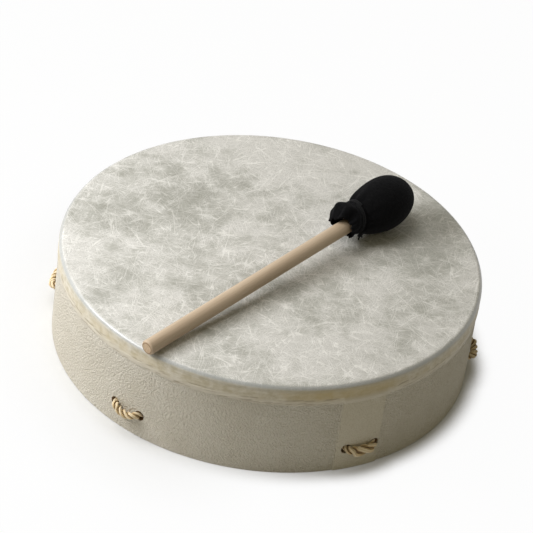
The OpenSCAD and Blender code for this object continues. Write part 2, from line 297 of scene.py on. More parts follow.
def short_way(angle):
    """The same angle, less than half a turn either way."""
    return (angle + math.pi) % (2 * math.pi) - math.pi


def placed(name, data):
    """New object in the scene, made of some data."""
    made = bpy.data.objects.new(name, data)
    bpy.context.scene.collection.objects.link(made)
    return made


def skin(name, rows, material, first, last):
    """Smooth closed mesh over rows of points that run round an axis, with a point at each end."""
    count, sides = rows.shape[:2]
    index = np.arange(count * sides).reshape(count, sides)
    after = np.roll(index, -1, axis=1)
    points = [*map(tuple, rows.reshape(-1, 3)), first, last]
    pole = count * sides
    quads = np.stack([index[:-1], index[1:], after[1:], after[:-1]], axis=-1)
    faces = quads.reshape(-1, 4).tolist()
    faces += [[pole, a, b] for a, b in zip(index[0].tolist(), after[0].tolist())]
    faces += [[pole + 1, b, a] for a, b in zip(index[-1].tolist(), after[-1].tolist())]
    mesh = bpy.data.meshes.new(name)
    mesh.from_pydata(points, [], faces)
    mesh.polygons.foreach_set("use_smooth", np.ones(len(faces), bool))
    mesh.materials.append(material)
    return placed(name, mesh)


def store(piece, name, values):
    """Keeps one number for each point of a piece, for its material to read."""
    kept = piece.data.attributes.new(name, "FLOAT", "POINT")
    kept.data.foreach_set("value", np.asarray(values, np.float32))


def pulp_fibres(place):
    """Fine pulp and long curled fibres, lying in eight directions: 1 on them, 0 between them."""
    bent = place.swayed(place.noise(20, 1.0, out="Color"), fibre_sway)
    bent = bent.swayed(place.noise(90, 1.0, out="Color"), fibre_curl)
    felt, threads = None, None
    for number, degrees in enumerate(fibre_ways):
        aimed = bent.turned((1, 1, 1), (0, 0, degrees))
        pulp = aimed.turned((70, 1300, 1), shift=(number * 3.1, 0, 0)).noise(1.0, 1.0, 0.6)
        drifts = aimed.turned((30, 110, 1), shift=(number * 4.3, 5.0, 0)).noise(1.0, 1.0)
        pulp = pulp.between(0.48, 0.74) * drifts.between(0.4, 0.62)
        felt = pulp if felt is None else felt.top(pulp)
        lines = aimed.turned((13, 200, 1), shift=(number * 5.7, 2.0, 0)).noise(1.0, 0.0)
        gaps = aimed.turned((32, 90, 1), shift=(number * 2.3, 7.0, 0)).noise(1.0, 0.0)
        lines = abs(lines - 0.5).between(0.02, 0.004) * gaps.between(0.46, 0.58)
        threads = lines if threads is None else threads.top(lines)
    return felt, threads


def glued_collar(place):
    """Colour and roughness of the collar, where the glue shows through and the creases lie, with painted
    shade and highlight on the creases.
    """
    seep = place.noise(34, 3.0, 0.6)
    stain = place.noise(170, 4.0, 0.65)
    streaks = place.turned((115, 115, 520)).noise(1.0, 3.0, 0.65)
    turn = place.bearing()
    spill = turn.between(spill_from, spill_from + 0.2) * turn.between(spill_to, spill_to - 0.15)
    band = (seep * 0.3 + stain * 0.4 + streaks * 0.3).between(0.38, 0.62)
    band = band.blend(shade(190, 179, 152), shade(220, 213, 199))
    band = (seep.between(0.5, 0.62) * 0.25 + spill * 0.55).blend(band, shade(192, 172, 122))
    band = place.stored("hem").blend(band, shade(209, 201, 186))
    # Painted shade in the creases' dips and painted highlight on their rises.
    band = (place.stored("crease_shade") * 0.75).blend(band, shade(132, 114, 84))
    band = (place.stored("crease_highlight") * 0.6).blend(band, shade(236, 230, 214))
    return band, stain + streaks


def fibre_film():
    material, shader, place = new_finish(
        "fibre film", {"Specular IOR Level": 0.45, "Coat Roughness": 0.3}
    )
    felt, threads = pulp_fibres(place)
    clouds = place.noise(10, 3.0, 0.6)
    mottle = place.noise(55, 5.0, 0.7)
    tone = (clouds * 0.6 + mottle * 0.4).between(0.37, 0.59)
    ground = tone.ramp(
        (0.0, shade(148, 147, 138)), (0.5, shade(175, 174, 167)), (1.0, shade(203, 201, 197))
    )
    grain = place.noise(820, 2.0, 0.7)
    top = (felt * (0.46 + tone * 0.4)).blend(ground, shade(230, 228, 225))
    top = (threads * (0.3 + tone * 0.35)).blend(top, shade(243, 241, 238))
    top = (grain.between(0.45, 0.68) * 0.36).blend(top, shade(150, 150, 144))
    shoulder = place.stored("shoulder")
    collar = place.stored("collar")
    band, band_rough = glued_collar(place)
    smooth = (shoulder * 0.72).blend(top, shade(160, 162, 161))
    collar.blend(smooth, band).feed(shader, "Base Color")
    (0.52 + threads * 0.08 - shoulder * 0.2 + collar * 0.26).feed(shader, "Roughness")
    (shoulder * (1.0 - collar) * 0.6).feed(shader, "Coat Weight")
    top_rough = (threads * 0.4 + felt * 0.4 + mottle * 0.3) * (1.0 - shoulder)
    (top_rough + band_rough * collar).relief(film_relief).feed(shader, "Normal")
    return material


def creases(turn, heights, count, middle, spread, seed):
    """Short slanting lines strewn round a band: 1 on a line, 0 away from it."""
    dice = np.random.default_rng(seed)
    marks = np.zeros_like(heights)
    for _ in range(count):
        at = dice.uniform(0, 2 * math.pi)
        reach = dice.uniform(*crease_reach)
        up = dice.normal(middle, spread)
        slant = dice.uniform(*crease_slant)
        thick = dice.uniform(*crease_t)
        depth = dice.uniform(*crease_depth)
        run = short_way(turn - at) * drum_r
        line = np.exp(-((heights - up - slant * run) / thick) ** 2)
        marks = np.maximum(marks, depth * line * (1 - ease(np.abs(run), reach * 0.5, reach)))
    return marks


def film_head():
    turn = np.linspace(0, 2 * math.pi, film_sides, endpoint=False)
    flat = np.ones(film_sides)
    edge = collar_z + trim_waver * wander(turn, 4, 30, 14, seed=5)
    swell = wander(turn, 12, 46, 18, seed=9) * 0.5 + 0.5
    here = short_way(turn)
    over_lap = ease(here, lap_from - lap_fade_turn, lap_from + 2 * lap_fade_turn)
    past_lap = ease(here, lap_to - 3 * lap_fade_turn, lap_to + 5 * lap_fade_turn)
    over_lap = over_lap * (1 - past_lap)
    plain = 1 - 0.85 * over_lap
    down = np.linspace(0, 1, collar_rows + 1)[1:, None]
    heights = crest_z + (edge - crest_z) * down
    even = heights - crease_waver * wander(turn, 3, 11, 6, seed=6)
    # Crease rows: dips and rises of the collar, also read by its finish as painted shade and painted
    # highlight.
    dark = np.maximum(creases(turn, even, *upper_creases), creases(turn, even, *lower_creases))
    dark = plain * dark
    pale = plain * creases(turn, even, *pale_creases)
    bulge = swell_rise * swell * ease(down, 0.2, 0.6) + pale_rise * pale - dark_dip * dark
    bulge = bulge - hem_press * ease(down, 0.75, 1.0) + lap_rise * over_lap * ease(down, 0.35, 0.9)
    rows = []
    marks = {name: [] for name in ("shoulder", "collar", "hem", "crease_shade", "crease_highlight")}

    def add(r, z, shoulder=0, collar=0, hem=0, crease_shade=0, crease_highlight=0):
        rows.append(np.stack([r * np.cos(turn), r * np.sin(turn), z * flat], axis=-1))
        levels = (shoulder, collar, hem, crease_shade, crease_highlight)
        for values, level in zip(marks.values(), levels):
            values.append(level * flat)

    for r in flat_rings:
        add(r, head_z)
    for t in np.linspace(0, math.pi / 2, 12):
        r = crest_r + shoulder_r * math.sin(t)
        z = crest_z + shoulder_r * math.cos(t)
        add(r, z, ease(t, 0.3, 0.65), ease(t, 0.95, 1.5) * 0.8)
    for row in range(collar_rows):
        cream = 0.8 + 0.2 * ease(down[row, 0], 0.0, 0.2)
        hem = 0.9 * ease(down[row, 0], 0.45, 0.85)
        add(drum_r + bulge[row], heights[row], 1, cream, hem, dark[row], pale[row])
    add(drum_r - film_t - trim_in + lap_rise * over_lap, edge, 1, 1, 1)
    add(drum_r - film_t, edge + trim_seat, 1, 1, 1)
    inside_r = shoulder_r - film_t
    for t in np.linspace(math.pi / 2, 0, 5):
        add(crest_r + inside_r * math.sin(t), crest_z + inside_r * math.cos(t))
    for r in under_rings:
        add(r, head_z - film_t)
    piece = skin(
        "film_head", np.array(rows), fibre_film(), (0, 0, head_z), (0, 0, head_z - film_t)
    )
    for name, values in marks.items():
        store(piece, name, np.concatenate([np.ravel(values), [0, 0]]))
    return piece


def clear_glue():
    material, shader, place = new_finish("dried glue", {"Specular IOR Level": 0.5, "Coat Weight": 0.3})
    runs = place.turned((160, 160, 40)).noise(1.0, 3.0)
    runs.between(0.35, 0.65).blend(shade(150, 128, 74), shade(199, 180, 126)).feed(shader, "Base Color")
    (0.25 + runs * 0.3).feed(shader, "Roughness")
    runs.relief(glue_relief).feed(shader, "Normal")
    return material


head = film_head()
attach(head, "drum")
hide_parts("drumhead")
dress("head_adhesive", clear_glue())


# Lacing: one length of three-strand rope, out of one hole and into the next in six loops.
# Between the loops it runs to the middle of the open back, and half round the grip ring there.
rope_r = 0.0032
rope_lay = 0.0140
strand_share = 0.475
hole_z = 0.0215
hole_apart = 0.0254
hoop_in_r = 0.1704
cover_r = 0.1772
hole_half = math.asin(hole_apart / 2 / cover_r)
tail_r = 0.1664
pair_turns = [math.radians(a) for a in (0, 60, 120, 176, 236.5, 301.5)]
lapped_pair = 5
loop_sag = 0.0025
loop_gap = 0.0005
loop_bend = 0.0045
loop_bow = 0.0008
loop_lean = 0.0011
loop_points = 40
loop_splays = (0.12, 0.12, 0.12, 0.12, 0.1, 0.75)
splay_depth = 0.006
loop_press = 0.5
grip_r = 0.025
grip_rope_r = 0.004
hitch_gap = 0.0004
hitch_r = grip_rope_r + rope_r + hitch_gap
hitch_turn = math.radians(9)
hitch_points = 80
path_step = 0.0003
rope_soft = 0.0011
fibres_round = 34.0
fibres_per_m = 190.0
yarn_relief = 0.0004


def polar(r, turn, z):
    """Points by their radius, angle and height."""
    return np.stack(np.broadcast_arrays(r * np.cos(turn), r * np.sin(turn), z), axis=-1)


def half_loop(pair, side):
    """Rope from inside the hoop, out of a hole and to the middle of its loop."""
    middle = pair_turns[pair]
    hole = middle + side * hole_half
    reach = cover_r + rope_r + loop_gap + (lap_rise if pair == lapped_pair else 0)
    bend_turn = loop_bend / reach
    edge = hole - side * loop_lean / reach
    run = np.linspace(tail_r, reach - loop_bend, loop_points)
    start = polar(run, hole + (edge - hole) * ease(run, hoop_in_r, cover_r), hole_z)
    t = np.linspace(0, math.pi / 2, loop_points)
    shift = bend_turn * (1 - np.cos(t))
    span_turn = abs(edge - middle)
    bend = polar(
        reach - loop_bend + loop_bend * np.sin(t),
        edge - side * shift,
        hole_z - loop_sag * (shift / span_turn) ** 2,
    )
    away = (span_turn - bend_turn) * np.linspace(1, 0, loop_points)
    drop = loop_sag * (1 - (away / span_turn) ** 2)
    stand = loop_bow * (1 - (away / away[0]) ** 2)
    span = polar(reach + stand, middle + side * away, hole_z - drop)
    return np.concatenate([start, bend[1:], span[1:]])


def hitch(pair):
    """Half a turn round the grip ring, from above it to below it."""
    following = (pair + 1) % len(pair_turns)
    start = pair_turns[pair] + hole_half
    stop = pair_turns[following] - hole_half + (2 * math.pi if following == 0 else 0)
    t = np.linspace(0, math.pi, hitch_points)
    turn = (start + stop) / 2 + hitch_turn * np.linspace(-1, 1, hitch_points)
    return polar(grip_r - hitch_r * np.sin(t), turn, hole_z + hitch_r * np.cos(t))


def evened(path, step, soften, closed):
    """Path with points at even steps, its corners rounded over a length of soften."""
    if closed:
        path = np.concatenate([path, path[:1]])
    run = np.concatenate([[0], np.cumsum(np.linalg.norm(np.diff(path, axis=0), axis=1))])
    keep = np.concatenate([[True], np.diff(run) > 1e-9])
    count = max(int(run[-1] / step), 8)
    at = np.linspace(0, run[-1], count, endpoint=not closed)
    even = np.stack([np.interp(at, run[keep], path[keep, k]) for k in range(3)], axis=-1)
    reach = int(3 * soften / step)
    weight = np.exp(-0.5 * (np.arange(-reach, reach + 1) * step / soften) ** 2)
    weight /= weight.sum()
    if closed:
        padded = np.concatenate([even[-reach:], even, even[:reach]])
    else:
        before = 2 * even[0] - even[reach:0:-1]
        after = 2 * even[-1] - even[-2:-reach - 2:-1]
        padded = np.concatenate([before, even, after])
    return np.stack([np.convolve(padded[:, k], weight, "valid") for k in range(3)], axis=-1)


def laid_rope():
    """Tree that lays three strands round a path, twisted together."""
    tree = bpy.data.node_groups.new("laid rope", "GeometryNodeTree")
    for name, kind in (
        ("Path", "Geometry"), ("Rope radius", "Float"), ("Lay length", "Float"),
        ("Step", "Float"), ("Strand sides", "Int"), ("Finish", "Material"),
    ):
        tree.interface.new_socket(name, in_out="INPUT", socket_type="NodeSocket" + kind)
    tree.interface.new_socket("Rope", in_out="OUTPUT", socket_type="NodeSocketGeometry")
    given = tree.nodes.new("NodeGroupInput")
    path, radius, lay, step, sides, finish = [Wire(tree, s) for s in given.outputs[:6]]

    def keep(shape, name, value):
        return path.node(
            "GeometryNodeStoreNamedAttribute", {"data_type": "FLOAT", "domain": "POINT"},
            {"Geometry": shape, "Name": name, "Value": value},
        )

    line = path.node("GeometryNodeMeshToCurve", {}, {"Mesh": path})
    line = path.node("GeometryNodeResampleCurve", {"mode": "LENGTH"}, {"Curve": line, "Length": step})
    line = keep(line, "along", path.node("GeometryNodeSplineParameter", {}, {}, "Length"))
    girth = path.node("GeometryNodeInputNamedAttribute", {"data_type": "FLOAT"}, {"Name": "girth"})
    total = path.node("GeometryNodeSplineLength", {}, {}, "Length")
    points = path.node("GeometryNodeSplineLength", {}, {}, "Point Count")
    turns = path.node(
        "GeometryNodeAccumulateField", {"data_type": "FLOAT", "domain": "POINT"},
        {"Value": total / points / lay / girth ** 2.0}, "Trailing",
    )
    tilt = turns * (2 * math.pi)
    line = path.node("GeometryNodeSetCurveTilt", {}, {"Curve": line, "Tilt": tilt})
    strand = path.node(
        "GeometryNodeCurvePrimitiveCircle", {},
        {"Resolution": sides, "Radius": radius * strand_share},
    )
    strand = keep(strand, "around", path.node("GeometryNodeSplineParameter", {}, {}, "Factor"))
    bundle = path.node("GeometryNodeJoinGeometry", {}, {})
    off_middle = 1 - strand_share
    for number in range(3):
        turn = number * 2 * math.pi / 3
        aside = path.node(
            "ShaderNodeCombineXYZ", {},
            {0: radius * (off_middle * math.cos(turn)), 1: radius * (off_middle * math.sin(turn))},
        )
        one = path.node(
            "GeometryNodeTransform", {},
            {"Geometry": strand, "Translation": aside, "Rotation": (0, 0, turn + math.pi)},
        )
        one = keep(one, "strand", float(number))
        tree.links.new(one.socket, bundle.socket.node.inputs[0])
    spot = path.node("GeometryNodeInputPosition", {}, {})
    bundle = keep(bundle, "out", spot.length() / radius)
    laid = path.node(
        "GeometryNodeCurveToMesh", {},
        {"Curve": line, "Profile Curve": bundle, "Scale": girth, "Fill Caps": True},
    )
    laid = path.node("GeometryNodeSetShadeSmooth", {}, {"Geometry": laid})
    laid = path.node("GeometryNodeRealizeInstances", {}, {"Geometry": laid})
    laid = path.node("GeometryNodeSetMaterial", {}, {"Geometry": laid, "Material": finish})
    done = tree.nodes.new("NodeGroupOutput")
    tree.links.new(laid.socket, done.inputs[0])
    return tree


def grown(name, carrier, tree, sizes):
    """Plain mesh object that a tree makes from a carrier mesh."""
    holder = placed(name + "_path", carrier)
    maker = holder.modifiers.new("maker", "NODES")
    maker.node_group = tree
    for socket in tree.interface.items_tree:
        if socket.in_out == "INPUT" and socket.name in sizes:
            maker[socket.identifier] = sizes[socket.name]
    seen = holder.evaluated_get(bpy.context.evaluated_depsgraph_get())
    mesh = bpy.data.meshes.new_from_object(seen)
    mesh.name = name
    bpy.data.objects.remove(holder)
    return placed(name, mesh)


def path_mesh(name, runs, closed, girths=None):
    """Points joined by edges only, for a tree to follow, with the rope's girth at each."""
    points, edges = [], []
    for run in runs:
        first = len(points)
        points += list(map(tuple, run))
        edges += [(k, k + 1) for k in range(first, len(points) - 1)]
        if closed:
            edges.append((len(points) - 1, first))
    mesh = bpy.data.meshes.new(name)
    mesh.from_pydata(points, edges, [])
    kept = mesh.attributes.new("girth", "FLOAT", "POINT")
    kept.data.foreach_set("value", np.ones(len(points), np.float32) if girths is None else girths)
    return mesh


def whole_lay(path, lay, girths=1.0):
    """Lay nearest to the one given that meets itself round a closed path."""
    steps = np.linalg.norm(np.diff(np.concatenate([path, path[:1]]), axis=0), axis=1)
    length = (steps / girths ** 2).sum()
    return length / round(length / lay)


def rope_finish(name, deep, middle, bright, yarns, yarn_lay, gloss):
    """Finish of a laid rope: twisted yarns in its strands, with painted shade deep between them and
    painted highlight on their outsides.
    """
    material, shader, place = new_finish(
        name, {"Specular IOR Level": gloss, "Sheen Weight": gloss * 0.3}
    )
    around = place.stored("around")
    along = place.stored("along")
    strand = place.stored("strand")
    twist = (around * yarns + along / yarn_lay + strand * 0.37) * (2 * math.pi)
    yarn = twist.wave() * 0.5 + 0.5
    round_strand = around * fibres_round + along * (fibres_round / yarns / yarn_lay)
    fibre_place = place.node(
        "ShaderNodeCombineXYZ", {}, {0: round_strand, 1: along * fibres_per_m, 2: strand * 7.0}
    )
    fibre = fibre_place.noise(1.0, 3.0, 0.6)
    dust = place.noise(70, 3.0, 0.6)
    # Painted shade between the strands and painted highlight on their crowns, by the distance from the
    # rope's middle.
    lit = place.stored("out").between(0.62, 0.97)
    tone = lit * 0.55 + yarn * 0.22 + fibre * 0.38 - 0.12
    colour = tone.ramp((0.08, deep), (0.5, middle), (0.92, bright))
    (dust.between(0.35, 0.75) * 0.25).blend(colour, middle).feed(shader, "Base Color")
    (0.55 + fibre * 0.25).feed(shader, "Roughness")
    (yarn * 0.7 + fibre * 0.6).relief(yarn_relief).feed(shader, "Normal")
    return material


def splay(points):
    """How far the strands spread at each point of the outer loops: most at a loop's middle."""
    r = np.hypot(points[:, 0], points[:, 1])
    turn = np.arctan2(points[:, 1], points[:, 0])
    total = np.zeros(len(points))
    for middle, most in zip(pair_turns, loop_splays):
        away = np.abs(short_way(turn - middle)) / hole_half
        total += most * (1 - ease(away, 0.1, 1.0))
    return total * ease(r, cover_r - splay_depth, cover_r)


def press_loops(piece):
    """Presses the loops against the wrap where their strands are spread."""
    spots = np.empty(len(piece.data.vertices) * 3, np.float32)
    piece.data.vertices.foreach_get("co", spots)
    spots = spots.reshape(-1, 3).astype(float)
    r = np.hypot(spots[:, 0], spots[:, 1])
    pressed = cover_r + (r - cover_r) * (1 - loop_press * splay(spots))
    spots[:, :2] *= np.where(r > cover_r, pressed / r, 1)[:, None]
    piece.data.vertices.foreach_set("co", spots.astype(np.float32).ravel())
    piece.data.update()


tan_rope = rope_finish(
    "tan rope", shade(104, 76, 42), shade(214, 186, 138), shade(252, 240, 214),
    yarns=6.0, yarn_lay=0.013, gloss=0.4,
)
lay_tree = laid_rope()
lacing = []
for pair in range(len(pair_turns)):
    lacing.append(half_loop(pair, -1))
    lacing.append(half_loop(pair, 1)[::-1][1:])
    lacing.append(hitch(pair))
lacing = evened(np.concatenate(lacing), path_step, rope_soft, True)
girths = (1 + splay(lacing)).astype(np.float32)
rope = grown(
    "lacing_rope", path_mesh("lacing_path", [lacing], True, girths), lay_tree,
    {"Rope radius": rope_r, "Lay length": whole_lay(lacing, rope_lay, girths), "Step": 0.00085,
     "Strand sides": 12, "Finish": tan_rope},
)
press_loops(rope)
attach(rope, "drum")
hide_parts("rope_outer_loops", "rope_spokes", "rope_hitches")


# End knot: the rope's last stretch, coiled three times round the spoke that it started with.
# Its two cut ends stick out a little at the ends of the coil.
knot_pair = 5
coil_turns = 3
coil_r = 0.0068
coil_pitch = 0.0070
coil_inset = 0.010
coil_soft = 0.0006


def run_on(path, length, count):
    """Path that goes straight on at both ends for some length, in a count of points."""
    first = path[0] - path[1]
    last = path[-1] - path[-2]
    run = np.linspace(0, length, count + 1)[1:]
    before = path[0] + np.outer(run[::-1], first / np.linalg.norm(first))
    after = path[-1] + np.outer(run, last / np.linalg.norm(last))
    return np.concatenate([before, path, after])


def coil():
    start = polar(tail_r, pair_turns[knot_pair] - hole_half, hole_z)
    stop = hitch(knot_pair - 1)[-1]
    ahead = (stop - start) / np.linalg.norm(stop - start)
    side = np.cross((0, 0, 1), ahead)
    side /= np.linalg.norm(side)
    up = np.cross(ahead, side)
    turn = np.linspace(0, 2 * math.pi * coil_turns, 40 * coil_turns)
    path = (
        start + ahead * coil_inset
        + np.outer(turn / (2 * math.pi) * coil_pitch, ahead)
        + coil_r * (np.outer(np.cos(turn), side) + np.outer(np.sin(turn), up))
    )
    return run_on(path, 2 * rope_r, 11)


coil_path = evened(coil(), path_step, coil_soft, False)
knot = grown(
    "rope_knot", path_mesh("knot_path", [coil_path], False), lay_tree,
    {"Rope radius": rope_r, "Lay length": rope_lay, "Step": 0.0008, "Strand sides": 14,
     "Finish": tan_rope},
)
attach(knot, "drum")
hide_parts("rope_end_knot")


# Grip ring: a thicker rope spliced into a ring, held at the middle of the back by the lacing.
# The hand closes round it, so its strands are rubbed darker and smoother.
grip_lay = 0.026
ring_points = 720
grip_rope = rope_finish(
    "worn grip rope", shade(72, 50, 28), shade(172, 136, 88), shade(222, 196, 152),
    yarns=8.0, yarn_lay=0.019, gloss=0.4,
)
round_ring = polar(grip_r, np.linspace(0, 2 * math.pi, ring_points, endpoint=False), hole_z)
grip = grown(
    "grip_rope_ring", path_mesh("grip_path", [round_ring], True), lay_tree,
    {"Rope radius": grip_rope_r, "Lay length": whole_lay(round_ring, grip_lay), "Step": 0.0006,
     "Strand sides": 18, "Finish": grip_rope},
)
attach(grip, "drum")
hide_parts("grip_ring")


# Mallet stick: a half-inch maple dowel, sanded and clear sealed, its butt rounded over.
# The other end is pushed into the core of the mallet's head.
stick_r = 0.00635
stick_round = 0.002
stick_chamfer = 0.0006
stick_reach = 0.283
stick_end = 0.290
stick_rings = 60
stick_sides = 96
end_ring_r = 0.004
butt_rings = (0.0028, 0.0012)
butt_mark_r = 0.0046
butt_mark_w = (0.0007, 0.0002)
butt_mark_l = (0.0014, 0.0006)
end_grain_l = 0.0005
wood_relief = 0.00012
belly_r = 0.0225
rest_place = (0.0866, 0.0631)
rest_turn = math.radians(52.1)
rest_gap = 0.0003


def mallet_pose():
    """Where the mallet lies: its belly on the head, its stick on the rim."""
    reach = Vector(rest_place)
    line = Vector((math.cos(rest_turn), math.sin(rest_turn)))
    ahead = reach.dot(line)
    rim = ahead + math.sqrt(ahead ** 2 - reach.length_squared + crest_r ** 2)
    tilt = math.asin((belly_r - stick_r) / min(rim, stick_reach - stick_round))
    return (
        Matrix.Translation((*rest_place, head_z + rest_gap + belly_r))
        @ Matrix.Rotation(rest_turn, 4, "Z")
        @ Matrix.Rotation(-tilt, 4, "Y")
        @ Matrix.Translation((-stick_reach, 0, 0))
    )


pose = mallet_pose()


def sealed_maple():
    material, shader, place = new_finish("sealed maple", {"Specular IOR Level": 0.4})
    wood = place.stored("dowel", "Vector")
    sway = wood.turned((6, 6, 6)).noise(1.0, 2.0, out="Color").turned((0.0, 0.004, 0.004))
    rings = wood.moved(sway).turned((3.0, 330, 90), (8, 0, 0)).noise(1.0, 3.0, 0.55)
    pores = wood.turned((60, 1500, 1500)).noise(1.0, 2.0, 0.6)
    cloud = wood.turned((16, 60, 60)).noise(1.0, 3.0)
    tone = (rings * 0.55 + cloud * 0.3 + pores * 0.15).between(0.36, 0.64)
    side = tone.blend(shade(172, 151, 127), shade(193, 173, 150))
    side = (pores.between(0.6, 0.75) * 0.2).blend(side, shade(164, 138, 106))
    end = wood.turned((1, 900, 260)).noise(1.0, 3.0, 0.6).between(0.3, 0.7)
    end = end.blend(shade(184, 156, 126), shade(203, 178, 148))
    across = wood.turned((0, 1, 1)).length()
    mark = abs(across - butt_mark_r).between(*butt_mark_w) * wood.part("X").between(*butt_mark_l)
    wooden = place.stored("end_grain").blend(side, end)
    (mark * 0.65).blend(wooden, shade(112, 84, 58)).feed(shader, "Base Color")
    (0.38 + pores * 0.22).feed(shader, "Roughness")
    (rings * 0.4 + pores * 0.6).relief(wood_relief).feed(shader, "Normal")
    return material


def round_rows(lengths, radii, sides):
    """Rows of points round the mallet's own axis, from its front end back."""
    turn = np.linspace(0, 2 * math.pi, sides, endpoint=False)
    shape = (len(radii), sides)
    lengths = np.broadcast_to(np.asarray(lengths, float).reshape(len(radii), -1), shape)
    radii = np.broadcast_to(np.asarray(radii, float).reshape(len(radii), -1), shape)
    return np.stack([lengths, radii * np.cos(turn), radii * np.sin(turn)], axis=-1)


def lay_down(piece):
    """Moves a mallet piece's mesh from its own axis to where the mallet lies."""
    piece.data.transform(pose)
    piece.data.update()


def maple_stick():
    lengths = [stick_end, stick_end, stick_end - stick_chamfer]
    radii = [end_ring_r, stick_r - stick_chamfer, stick_r]
    lengths += list(np.linspace(stick_end - stick_round, stick_round, stick_rings))
    radii += [stick_r] * stick_rings
    for t in np.linspace(0, math.pi / 2, 10)[1:]:
        lengths.append(stick_round - stick_round * math.sin(t))
        radii.append(stick_r - stick_round + stick_round * math.cos(t))
    lengths += [0.0] * len(butt_rings)
    radii += butt_rings
    rows = round_rows(lengths, radii, stick_sides)
    piece = skin("maple_stick", rows, sealed_maple(), (stick_end, 0, 0), (0, 0, 0))
    points = np.concatenate([rows.reshape(-1, 3), [(stick_end, 0, 0), (0, 0, 0)]])
    wood = piece.data.attributes.new("dowel", "FLOAT_VECTOR", "POINT")
    wood.data.foreach_set("vector", points.astype(np.float32).ravel())
    store(piece, "end_grain", 1 - ease(points[:, 0], 0.0, end_grain_l))
    lay_down(piece)
    return piece


stick = maple_stick()
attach(stick, "mallet")
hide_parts("mallet_stick")


# Mallet core: a rubber ball, bored past its middle and pushed on the stick's end.
# The padding and the cover hide it.
core_r = 0.0135
core_fit = 0.0001
rubber_relief = 0.0002


def core_rubber():
    material, shader, place = new_finish("core rubber", {"Specular IOR Level": 0.4})
    specks = place.noise(900, 3.0, 0.6)
    specks.between(0.3, 0.7).blend(shade(54, 54, 52), shade(84, 83, 80)).feed(shader, "Base Color")
    (0.6 + specks * 0.25).feed(shader, "Roughness")
    specks.relief(rubber_relief).feed(shader, "Normal")
    return material


dress("mallet_core", core_rubber())


# Mallet padding: thick wool yarn wound crosswise over the core until the head is full.
# It follows the thin side of the cover's gathers, and the cover hides it.
nose_l = 0.031
tail_l = 0.031
tail_full = 0.65
pad_neck_r = 0.0098
pad_in = 0.0024
pad_back = 0.8
pad_tip_turn = math.radians(84)
pad_sides = 120
yarn_pitch = 0.0075
yarn_starts = 3
yarn_rise = 0.0003
wool_relief = 0.0008


def wound_wool():
    material, shader, place = new_finish("wound wool", {"Sheen Weight": 0.4})
    hairs = place.turned((90, 700, 500), (20, 35, 10)).noise(1.0, 4.0, 0.6)
    hairs.between(0.3, 0.7).blend(shade(122, 117, 106), shade(186, 180, 166)).feed(shader, "Base Color")
    (0.8 + hairs * 0.15).feed(shader, "Roughness")
    hairs.relief(wool_relief).feed(shader, "Normal")
    return material


def wool_padding():
    turn = np.linspace(0, 2 * math.pi, pad_sides, endpoint=False)
    lengths, radii = [], []

    def add(x, r):
        lengths.append(np.full(pad_sides, x))
        radii.append(r + np.zeros(pad_sides))

    def wind(x, r):
        along = 2 * math.pi * x / yarn_pitch
        layers = np.maximum(np.sin(along + yarn_starts * turn), np.sin(along - yarn_starts * turn))
        add(x, r + yarn_rise * (layers - 1))

    for t in np.linspace(pad_tip_turn, 0, 30):
        wind(stick_reach + (nose_l - pad_in) * math.sin(t), (belly_r - pad_in) * math.cos(t))
    for back in np.linspace(0, pad_back, 36)[1:]:
        full = math.cos(math.pi / 2 * back) ** tail_full
        wind(stick_reach - tail_l * back, pad_neck_r + (belly_r - pad_neck_r) * full - pad_in)
    hollow = core_r + core_fit
    bore = stick_r + core_fit
    add(stick_reach - tail_l * pad_back, bore)
    for t in np.linspace(math.asin(bore / hollow), math.pi, 30)[:-1]:
        add(stick_reach - hollow * math.cos(t), hollow * math.sin(t))
    rows = round_rows(np.array(lengths), np.array(radii), pad_sides)
    tip = (stick_reach + nose_l - pad_in, 0, 0)
    piece = skin("wool_padding", rows, wound_wool(), tip, (stick_reach + hollow, 0, 0))
    lay_down(piece)
    return piece


padding = wool_padding()
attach(padding, "mallet")
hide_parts("mallet_padding")


# Mallet cover: a disc of soft black cloth, drawn over the padding and gathered behind it.
# The gathers lie thicker on one side, and beyond the tie the cloth's edge hangs as a ragged skirt.
tip_x = stick_reach + nose_l
neck_x = stick_reach - tail_l
skirt_x = 0.2457
neck_r = 0.01303
neck_in_r = 0.00645
neck_off = 0.0032
neck_lean = 0.003
cloth_t = 0.0014
tip_turn = math.radians(86)
nose_rows = 26
dent_depth = 0.0004
gather_rise = 0.0009
tie_press = 0.0009
skirt_l = 0.0135
skirt_side = math.radians(37)
skirt_slant = 0.0049
skirt_long_side = math.radians(66)
skirt_oval = 0.0011
skirt_frill = 0.0016
notch_side = math.radians(114)
notch_turn = math.radians(20)
notch_l = 0.0045
fan_out = 0.0019
fan_slant = 0.0023
fan_turn = math.radians(250)
pleat_rise = 0.0015
skirt_gather = 0.0007
cover_sides = 360
nap_relief = 0.0007


def black_nap():
    material, shader, place = new_finish(
        "black napped cloth",
        {"Specular IOR Level": 0.06, "Sheen Weight": 0.06, "Sheen Roughness": 0.5,
         "Sheen Tint": shade(150, 150, 156)},
    )
    nap = place.noise(1700, 3.0, 0.65)
    tuft = place.noise(420, 3.0, 0.6)
    tone = (nap * 0.6 + tuft * 0.4).between(0.35, 0.68)
    tone.blend(shade(4, 4, 5), shade(17, 17, 18)).feed(shader, "Base Color")
    (0.86 + nap * 0.12).feed(shader, "Roughness")
    (nap * 0.6 + tuft * 0.8).relief(nap_relief).feed(shader, "Normal")
    return material


def gather(turn):
    """How far the gathers stand beyond their middle, round the stick."""
    return neck_off * np.cos(turn - skirt_side)


def lean(turn):
    """How far the tie is pulled towards the head, round the stick."""
    return neck_lean * np.cos(turn - skirt_side)


